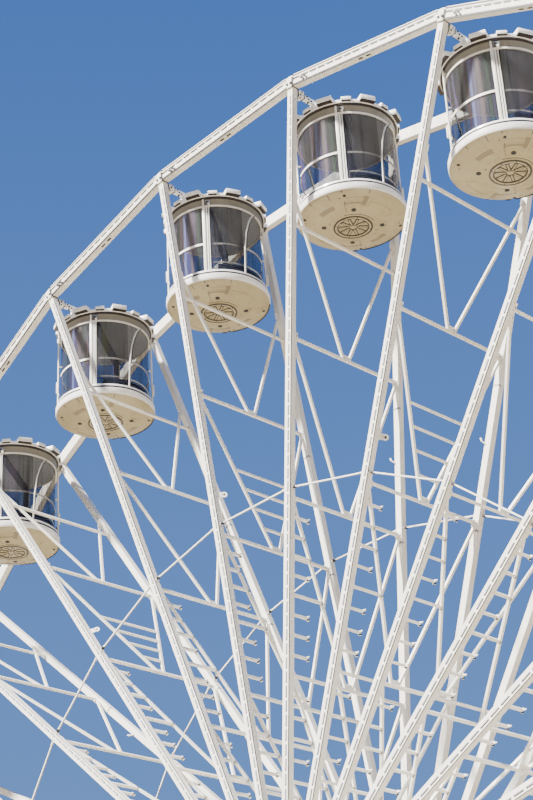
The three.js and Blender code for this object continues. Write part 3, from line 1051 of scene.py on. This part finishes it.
def drain(bm, azimuth, out, radius, sides):
    """A drain hole in the bottom, drawn as a dark disc: painted shade in its opening."""
    spot = on_dish(azimuth, out)
    rod(bm, spot + UP * 0.01, spot - UP * 0.008, radius, sides, DARK)


def bottom_details(bm):
    """The rosette, drain holes, small screws, embossed pockets and seams of the bottom."""
    # Each petal of the rosette sits on a slightly larger dark outline: painted shade in its groove.
    for azimuth in range(9, 369, 36):
        upright(bm, (0.19, 0.062, 0.012), azimuth, VENT_RADIUS, DISH_FOOT + 0.0075, LINE_AND_SHADE, 0.004)
        upright(bm, (0.165, 0.028, 0.014), azimuth, VENT_RADIUS, DISH_FOOT + 0.003, SHADED_DISH, 0.004)
    rod(bm, (0, 0, DISH_FOOT - 0.002), (0, 0, DISH_FOOT + 0.014), 0.05, 20, SHADED_DISH)
    # The rosette's two dark rings: painted shade in its grooves.
    ring(bm, section(ROSETTE_RADIUS + 0.004, DISH_FOOT - 0.002, 0.01, 0.03), 48, LINE_AND_SHADE)
    ring(bm, section(0.272, DISH_FOOT + 0.004, 0.01, 0.014), 48, LINE_AND_SHADE)
    arc(bm, section(0.4, DISH_FOOT + 0.009, 0.008, 0.008), -70, 20, 14, LINE_AND_SHADE)
    for azimuth in range(12, 372, 45):
        bolt(bm, polar(azimuth, SCREW_RADIUS, DISH_FOOT - 0.004), -UP, 0.011, 0.006, LINE_AND_SHADE)
    lip = [(0.075, 0.0), (0.09, -0.006), (0.105, -0.004), (0.11, 0.02), (0.075, 0.02)]
    for azimuth in DRAINS:
        drain(bm, azimuth, DRAIN_RADIUS, 0.043, 16)
        if azimuth == 45:
            placed(bm, ring(bm, lip, 24, SHADED_DISH), Matrix.Translation(on_dish(azimuth, DRAIN_RADIUS)))
    for azimuth in RIM_DRAINS:
        drain(bm, azimuth, RIM_DRAIN_RADIUS, 0.028, 12)
        bolt(bm, on_dish(azimuth - 6.5, 0.825), -UP, 0.013, 0.004, LINE_AND_SHADE)
    for turn in (0, 180):
        for start, end, *shape in DISH_STRIPS:
            dish_strip(bm, start + turn, end + turn, *shape)
    for start, end in ((46, 123), (128, 133)):
        dish_strip(bm, start, end, 0.955, 0.975, 0.012, LINE_AND_SHADE)
    for k in range(16):
        dish_strip(bm, 22.5 * k + 4, 22.5 * k + 18.5, 0.455, 0.462, 0.004, SHADED_DISH)


def dish_strip(bm, start, end, near, far, lift, finish):
    """A raised or sunk field of the bottom, between two azimuths and two radii."""
    low, high = on_dish(0, near, lift).z, on_dish(0, far, lift).z
    profile = [(near, low), (far, high), (far, high + 0.03), (near, low + 0.03)]
    arc(bm, profile, start, end, max(1, round((end - start) / 6)), finish)


def hanger(bm):
    """The square tube across the roof, its saddles, its end rings and their bolts."""
    block(bm, (HANGER_WIDTH, 2 * HANGER_END, HANGER_WIDTH), (0, 0, 0), soft=0.006, segments=2)
    half = HANGER_WIDTH / 2
    for side in SIDES:
        block(bm, (0.18, 0.14, 0.12), (0, side * SADDLE_Y, -0.1), soft=0.01)
        block(bm, (0.24, 0.2, 0.025), (0, side * SADDLE_Y, -0.155), soft=0.006)
        block(bm, (0.1, 0.02, 0.1), (0, side * (HANGER_END - 0.03), 0), finish=DARK, soft=0.004)
        for x in SIDES:
            for y in (SADDLE_Y - 0.04, SADDLE_Y + 0.04):
                bolt(bm, (x * 0.095, side * y, -0.145), UP, 0.014, 0.016)
            for y, z in ((0.9, -0.03), (0.96, -0.015), (1.0, 0.022)):
                bolt(bm, (x * half, side * y, z), (x, 0, 0), 0.015, 0.018)
        rod(bm, (0, side * 0.93, -half - 0.024), (0, side * 0.93, -half + 0.01), 0.02, 10, DARK)


def cabin_fittings():
    """Posts, rails, outer rods, ceiling channel, arches and seats."""
    bm = bmesh.new()
    foot = SILL_Z - 0.05
    top = CEILING_Z + 0.02
    middle, tall = (top + SILL_Z) / 2, top - SILL_Z
    for post, trim in ((NEAR_POST, NEAR_TRIM), (FAR_POST, FAR_TRIM)):
        size = (0.04, 0.056, top - foot)
        upright(bm, size, post, RING_RADIUS, (top + foot) / 2, soft=0.006, segments=2)
        turn = standing(post + 3.3)
        block(bm, (0.02, 0.045, tall), polar(post + 3.3, GLASS_RADIUS, middle), turn)
        block(bm, (0.022, 0.007, tall), polar(post + 2.3, GLASS_RADIUS + 0.003, middle), turn, 1)
        block(bm, (0.022, 0.006, tall), polar(post + 4.6, GLASS_RADIUS + 0.003, middle), turn, 2)
        upright(bm, (0.03, 0.034, 0.19), post, GLASS_RADIUS + 0.035, CEILING_Z + 0.085, soft=0.005)
        upright(bm, (0.034, 0.02, tall), trim, RING_RADIUS, middle, soft=0.005)
        # A dark lining inside each post: painted shade, which darkens the far post seen through the glass
        upright(bm, (0.012, 0.11, tall), post + 2.5, GLASS_RADIUS - 0.024, middle, 1)
        # The two dark blocks at the top of each trim, in the soffit, are partly a hinge and partly painted
        # shadow beside the post.
        turn = standing(trim)
        block(bm, (0.03, 0.1, 0.07), polar(trim - 0.5, GLASS_RADIUS + 0.03, CEILING_Z + 0.1), turn, 2)
        block(bm, (0.034, 0.05, 0.03), polar(trim - 1.4, GLASS_RADIUS + 0.036, CEILING_Z + 0.09), turn, 1)
        block(bm, (0.03, 0.04, 0.05), polar(trim + 0.6, GLASS_RADIUS + 0.038, CEILING_Z + 0.04), turn)
    for start, end in ((-121, -59), (59, 121)):
        arc(bm, section(GLASS_RADIUS + 0.013, HAND_RAIL_Z, 0.042, 0.014), start, end, 16)
    for start, end in ((-49, 55), (131, 235)):
        arc(bm, section(GLASS_RADIUS - 0.015, HAND_RAIL_Z, 0.034, 0.012), start, end, 24)
        arc(bm, section(GLASS_RADIUS - 0.015, LOW_RAIL_Z, 0.026, 0.012), start, end, 24)
    for azimuth in RODS:
        rod(bm, polar(azimuth, 0.935, GASKET_Z + 0.01), polar(azimuth, 0.945, BAND_TOP - 0.02), 0.017, 10)
        for z in (-0.4, -1.1, -1.85):
            upright(bm, (0.06, 0.03, 0.02), azimuth, GLASS_RADIUS + 0.02, z)
        rod(bm, polar(azimuth + 1, 0.925, -1.72), polar(azimuth + 1, 0.925, -1.76), 0.024, 12, 2)
        turn = standing(azimuth)
        block(bm, (0.05, 0.05, 0.24), polar(azimuth - 2.5, 0.955, -1.56), turn, soft=0.008, segments=2)
    ends = [polar(azimuth, 0.86, CEILING_Z - 0.02) for azimuth in (NEAR_TRIM - 2, FAR_TRIM - 4)]
    beam(bm, *ends, 0.14, 0.04, 1)
    benches(bm)
    arches(bm)
    return mesh_of(bm, "cabin_fittings")


def arches(bm):
    """On each fixed pane: the curved trim where its clear part begins, thinner downwards."""
    for turn in (0, 180):
        side = standing(turn) @ Vector((0.012, 0.022, 0.0))
        points = [polar(azimuth + turn, GLASS_RADIUS + 0.016, z) for azimuth, z, _ in ARCH]
        for start, end, (_, _, thick) in zip(points, points[1:], ARCH):
            rod(bm, start, end, thick, 8)
            rod(bm, start + side, end + side, 0.009, 6, 1)


def benches(bm):
    """A low curved bench with a firm vinyl-faced seat inside each end of the cabin."""
    base = [(0.44, -1.94), (0.82, -1.95), (0.82, -1.8), (0.44, -1.8)]
    seat = [(0.42, -1.79), (0.84, -1.79), (0.84, -1.755), (0.81, -1.74), (0.45, -1.74), (0.42, -1.755)]
    for middle in (0, 180):
        for profile in (base, seat):
            arc(bm, profile, middle - BENCH_HALF, middle + BENCH_HALF, 18, 3)


def cabin_glass():
    """The curved panes, with a map of arc length and height for the streaks in them."""
    bm = bmesh.new()
    layer = bm.loops.layers.uv.new("pane")
    profile = section(GLASS_RADIUS, (GLASS_TOP + GLASS_FOOT) / 2, GLASS_TOP - GLASS_FOOT, 0.008)
    for start, end in PANES + CLEAR_PANES:
        finish = 2 if (start, end) in DOOR_PANES else int((start, end) in CLEAR_PANES)
        arc(bm, profile, start + 0.3, end - 0.3, round((end - start) / 4), finish)
    for face in bm.faces:
        middle = face.calc_center_median()
        centre = math.atan2(middle.y, middle.x)
        for loop in face.loops:
            at = loop.vert.co
            angle = math.atan2(at.y, at.x)
            angle += 2 * math.pi * round((centre - angle) / (2 * math.pi))
            loop[layer].uv = (angle * GLASS_RADIUS, at.z)
    return mesh_of(bm, "cabin_glass")


def hang_cabins():
    """Copy the cabin's three meshes to each hinge; each pane gets its own streaks."""
    meshes = cabin_shell(), cabin_fittings(), cabin_glass()
    for i in range(CABINS):
        body = numbered("cabin", i) + "_body"
        shell, fittings, glass = [mesh.copy() for mesh in meshes]
        for mesh in (shell, fittings, glass):
            mesh.transform(Matrix.Translation(HINGES[body]))
        for loop in glass.uv_layers["pane"].data:
            loop.uv.x += 2 * PANE_PERIOD * i
        shell_piece = piece(numbered("cabin_shell", i), shell, SHELL_FINISHES, body)
        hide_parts(numbered("cabin", i))
        piece(numbered("cabin_fittings", i), fittings, [WHITE, RUBBER, ZINC, VINYL], body)
        piece(numbered("cabin_glass", i), glass, GLASS_FINISHES, body)


# What stands on the ground


def railing(bm, start, end, posts, toe_board=True):
    """A handrail and a knee rail on posts between two points at the deck's level, and a toe board."""
    start, end = Vector(start), Vector(end)
    for height in (RAIL_HEIGHT, RAIL_HEIGHT / 2):
        rod(bm, start + UP * height, end + UP * height, 0.024, 10)
    for k in range(posts):
        at = start.lerp(end, k / (posts - 1))
        rod(bm, at - UP * 0.02, at + UP * RAIL_HEIGHT, 0.022, 10)
        block(bm, (0.12, 0.12, 0.012), at + UP * 0.006, soft=0.004)
        for x, y in CORNERS:
            bolt(bm, at + Vector((x * 0.042, y * 0.042, 0.012)), UP, 0.01, 0.01)
    if toe_board:
        beam(bm, start + UP * 0.07, end + UP * 0.07, 0.012, 0.1)


def deck_railings():
    """Railings round the deck, with a gap for the wheel, and down both sides of the steps."""
    bm = bmesh.new()
    x, y = DECK_X - 0.1, DECK_Y - 0.1
    for side, way in CORNERS:
        corner = (side * x, way * y, DECK_TOP)
        railing(bm, (side * x, way * WHEEL_GAP, DECK_TOP), corner, 3)
        railing(bm, (side * STAIR_HALF, way * y, DECK_TOP), corner, 3)
        stair_x = side * (STAIR_HALF - 0.05)
        head = (stair_x, way * (DECK_Y + 0.05), DECK_TOP)
        railing(bm, head, (stair_x, way * (DECK_END - 0.15), 0.19), 4, toe_board=False)
    piece("deck_railings", bm, [WHITE, ZINC], "base")


def deck_trim():
    """Edge channels round the deck, joint lines between its plates and grip strips on the treads."""
    bm = bmesh.new()
    middle = DECK_TOP - DECK_THICKNESS / 2
    reach = (DECK_X + STAIR_HALF) / 2
    for side in SIDES:
        block(bm, (0.02, 2 * DECK_Y + 0.02, 0.13), (side * (DECK_X + 0.005), 0, middle))
        for way in SIDES:
            block(bm, (DECK_X - STAIR_HALF, 0.02, 0.13), (way * reach, side * (DECK_Y + 0.005), middle))
        for k in range(TREADS + 1):
            y = DECK_Y + (TREADS - k) * STAIR_RUN / TREADS
            z = (k + 1) * TREAD_RISE
            block(bm, (2 * STAIR_HALF - 0.1, 0.05, 0.006), (0, side * (y - 0.035), z + 0.002), finish=1)
            if k < TREADS:
                block(bm, (2 * STAIR_HALF + 0.01, 0.012, 0.04), (0, side * (y + 0.002), z - 0.02))
    for k in range(-2, 3):
        block(bm, (0.012, 2 * DECK_Y - 0.1, 0.003), (k * 1.3, 0, DECK_TOP + 0.001), finish=1)
    for k in range(-3, 4):
        block(bm, (2 * DECK_X - 0.1, 0.012, 0.003), (0, k * 1.33, DECK_TOP + 0.001), finish=1)
    piece("deck_trim", bm, [BASE_GREY, RUBBER], "base")


def leg_point(side, x_side, z):
    """A point on the middle line of a tower's leg."""
    down = (AXLE.z - z) / (AXLE.z - FOOT_Z)
    x = x_side * (LEG_TOP_X + (FOOT_X - LEG_TOP_X) * down)
    return Vector((x, side * (HEAD_Y + (FOOT_Y - HEAD_Y) * down), z))


def leg_fittings(bm, side, x_side):
    """The bolted joints along a leg, and the ribs and nuts at its foot."""
    along = (leg_point(side, x_side, 10.0) - leg_point(side, x_side, 2.0)).normalized()
    turn = Vector((0, 1, 0)).rotation_difference(along).to_matrix().to_4x4()
    width = LEG_WIDTH + 0.14
    edge = LEG_WIDTH / 2 + 0.035
    for z in LEG_JOINTS:
        at = leg_point(side, x_side, z)
        for lift in (-0.016, 0.016):
            block(bm, (width, 0.026, width), at + along * lift, turn, soft=0.004)
        for step in (-LEG_BOLT_PITCH, 0.0, LEG_BOLT_PITCH):
            for x, y in ((step, edge), (step, -edge), (edge, step), (-edge, step)):
                for way in SIDES:
                    head = at + turn.to_3x3() @ Vector((x, way * 0.03, y))
                    bolt(bm, head, along * way, 0.02, 0.018)
    foot = Vector((x_side * FOOT_X, side * FOOT_Y, FOOT_Z + 0.06))
    for k in range(4):
        spin = Matrix.Rotation(k * math.pi / 2, 4, "Z")
        bolt(bm, foot + spin @ Vector((FOOT_BOLTS, FOOT_BOLTS, 0.0)), UP, 0.034, 0.04)
        for x in SIDES:
            block(bm, (0.1, 0.02, 0.16), foot + spin @ Vector((0.26, x * 0.12, 0.075)), spin, soft=0.003)


def crossbar_joint(bm, at):
    """Two bolted plates across a crossbar."""
    for gap in (-0.014, 0.014):
        block(bm, (0.024, 0.36, 0.36), at + Vector((gap, 0, 0)), soft=0.004)
    for k in range(8):
        radius = 0.19 if k % 2 else 0.15
        corner = at + Matrix.Rotation(math.pi / 4 * k, 3, "X") @ Vector((0, 0, radius))
        for way in SIDES:
            bolt(bm, corner + Vector((way * 0.026, 0, 0)), (way, 0, 0), 0.016, 0.014)


def tower_fittings():
    """Bearing housings, and the joints of legs and crossbars."""
    bm = bmesh.new()
    for side in SIDES:
        out = Vector((0, side, 0))
        top = HOUSING_HEIGHT
        housing = [(0.29, 0.0), (0.43, 0.0), (0.43, 0.04), (0.41, top), (0.31, top), (0.29, 0.05)]
        placed(bm, ring(bm, housing, 56), on_axle(side * HEAD_FRONT, side))
        for k in range(16):
            around = Matrix.Rotation(2 * math.pi * k / 16, 3, "Y")
            front = Vector((0, side * (HEAD_FRONT + HOUSING_HEIGHT), HOUSING_BOLTS))
            back = Vector((0, side * HEAD_BACK, HOUSING_BOLTS))
            bolt(bm, AXLE + around @ front, out, 0.022, 0.02)
            bolt(bm, AXLE + around @ back, -out, 0.022, 0.02)
        for x in SIDES:
            for z in SIDES:
                corner = Vector((x * HEAD_BOLTS, side * HEAD_FRONT, z * HEAD_BOLTS))
                bolt(bm, AXLE + corner, out, 0.026, 0.022)
            lug = AXLE + Vector((x * 0.25, side * HEAD_Y, HEAD_HALF + 0.06))
            block(bm, (0.03, 0.16, 0.14), lug, soft=0.01, segments=2)
            leg_fittings(bm, side, x)
            for z in CROSSBARS:
                leg = leg_point(side, 1, z)
                crossbar_joint(bm, Vector((x * (leg.x - CROSSBAR_JOINT), leg.y, z)))
        crown = leg_point(side, 0, CROSSBARS[0])
        plate = crown + Vector((0, side * (CROSSBAR_FACE + 0.004), -0.14))
        block(bm, (1.0, 0.02, 0.46), plate, soft=0.005)
        for k in range(-4, 5):
            spot = crown + Vector((k * CROWN_BOLT_PITCH, side * (CROSSBAR_FACE + 0.014), 0.02))
            bolt(bm, spot, out, 0.016, 0.014)
    piece("tower_fittings", bm, [WHITE, ZINC], "base")


def base_fittings():
    """Splice plates and bolts along the sills, and a lifting eye at each end."""
    bm = bmesh.new()
    middle = SILL_HEIGHT / 2
    for side, way in CORNERS:
        face = side * FOOT_Y + way * SILL_WIDTH / 2
        for x in SPLICES:
            block(bm, (0.5, 0.016, 0.36), (x, face, middle), soft=0.004)
            for dx in (-0.18, -0.07, 0.07, 0.18):
                for dz in (-0.12, 0.12):
                    bolt(bm, (x + dx, face + way * 0.008, middle + dz), (0, way, 0), 0.02, 0.018)
        end = (way * (SILL_HALF + 0.002), side * FOOT_Y, middle)
        block(bm, (0.014, SILL_WIDTH - 0.06, SILL_HEIGHT - 0.06), end, soft=0.004)
        root = Vector((way * EYE_X, side * FOOT_Y, SILL_HEIGHT))
        eye = [root + Vector((0.09 * bend.x, 0, 0.11 * bend.z)) for bend in EYE_BEND]
        for start, stop in zip(eye, eye[1:]):
            rod(bm, start, stop, 0.018, 8, 1)
    piece("base_fittings", bm, [BASE_GREY, ZINC], "base")


# The scene round it


def studio():
    """The floor, a soft light from all round, and one broad light from the front."""
    bm = bmesh.new()
    level = Matrix.Translation((0, 0, -0.002))
    bmesh.ops.create_grid(bm, x_segments=1, y_segments=1, size=FLOOR_REACH, matrix=level)
    floor = shown("floor", mesh_of(bm, "floor"))
    floor.data.materials.append(floor_finish())

    world = bpy.data.worlds.new("soft_studio")
    bpy.context.scene.world = world
    world.use_nodes = True
    nodes, links = world.node_tree.nodes, world.node_tree.links
    place = nodes.new("ShaderNodeTexCoord")
    split = nodes.new("ShaderNodeSeparateXYZ")
    ramp = nodes.new("ShaderNodeValToRGB")
    stops = ramp.color_ramp.elements
    stops[1].position = 0.75
    stops.new(0.22)
    for stop, tone in zip(stops, ((0.5, 0.52, 0.56), (0.16, 0.32, 0.72), (0.05, 0.16, 0.56))):
        stop.color = (*tone, 1.0)
    links.new(place.outputs["Generated"], split.inputs[0])
    links.new(split.outputs["Z"], ramp.inputs[0])
    links.new(ramp.outputs[0], nodes["Background"].inputs[0])

    sun = shown("key_light", bpy.data.lights.new("key_light", "SUN"))
    sun.data.energy = 22.0
    sun.data.angle = math.radians(6)
    sun.data.color = (1.0, 0.97, 0.91)
    sun.rotation_mode = "QUATERNION"
    sun.rotation_quaternion = Vector((-0.2, -0.7, 0.78)).to_track_quat("Z", "Y")


def camera():
    """Stands to the right of the wheel's front and looks up at the left of its top."""
    eye = Vector((17.890, -19.107, 13.683))
    pitch = math.radians(27.979)
    roll = math.radians(-3.196)
    level = Vector((-0.7049, 0.7093, 0.0)).normalized()
    right = Vector((level.y, -level.x, 0.0))
    forward = level * math.cos(pitch) + UP * math.sin(pitch)
    up = right.cross(forward)
    turned_right = right * math.cos(roll) + up * math.sin(roll)
    turned_up = up * math.cos(roll) - right * math.sin(roll)
    place = Matrix((turned_right, turned_up, -forward)).transposed().to_4x4()
    place.translation = eye
    lens = bpy.data.cameras.new("camera")
    lens.lens = 77.084
    lens.clip_end = 1000.0
    seen = shown("camera", lens)
    seen.matrix_world = place
    bpy.context.scene.camera = seen


def repaint(finish, *names):
    """Give CAD nodes their finish."""
    for name in names:
        node = frame["nodes"][name]
        if not node.material_slots:
            node.data.materials.append(finish)
        for slot in node.material_slots:
            slot.material = finish


camera()
studio()
repaint(WHITE, *[numbered("spoke_frame", i) for i in range(CABINS)])
repaint(WHITE, "front_rim", "back_rim", "front_tower", "back_tower")
repaint(HUB_WHITE, "hub")
repaint(BASE_GREY, "base_frame")
repaint(DECK, "boarding_deck")
spoke_pegs()
strut_rungs()
panel_rungs()
inner_struts()
gussets()
back_hooks()
spoke_lugs()
spoke_lights()
tie_rods()
rim_trim()
rim_corners()
bearing_fittings()
hub_fittings()
axle_fittings()
hang_cabins()
deck_railings()
deck_trim()
tower_fittings()
base_fittings()
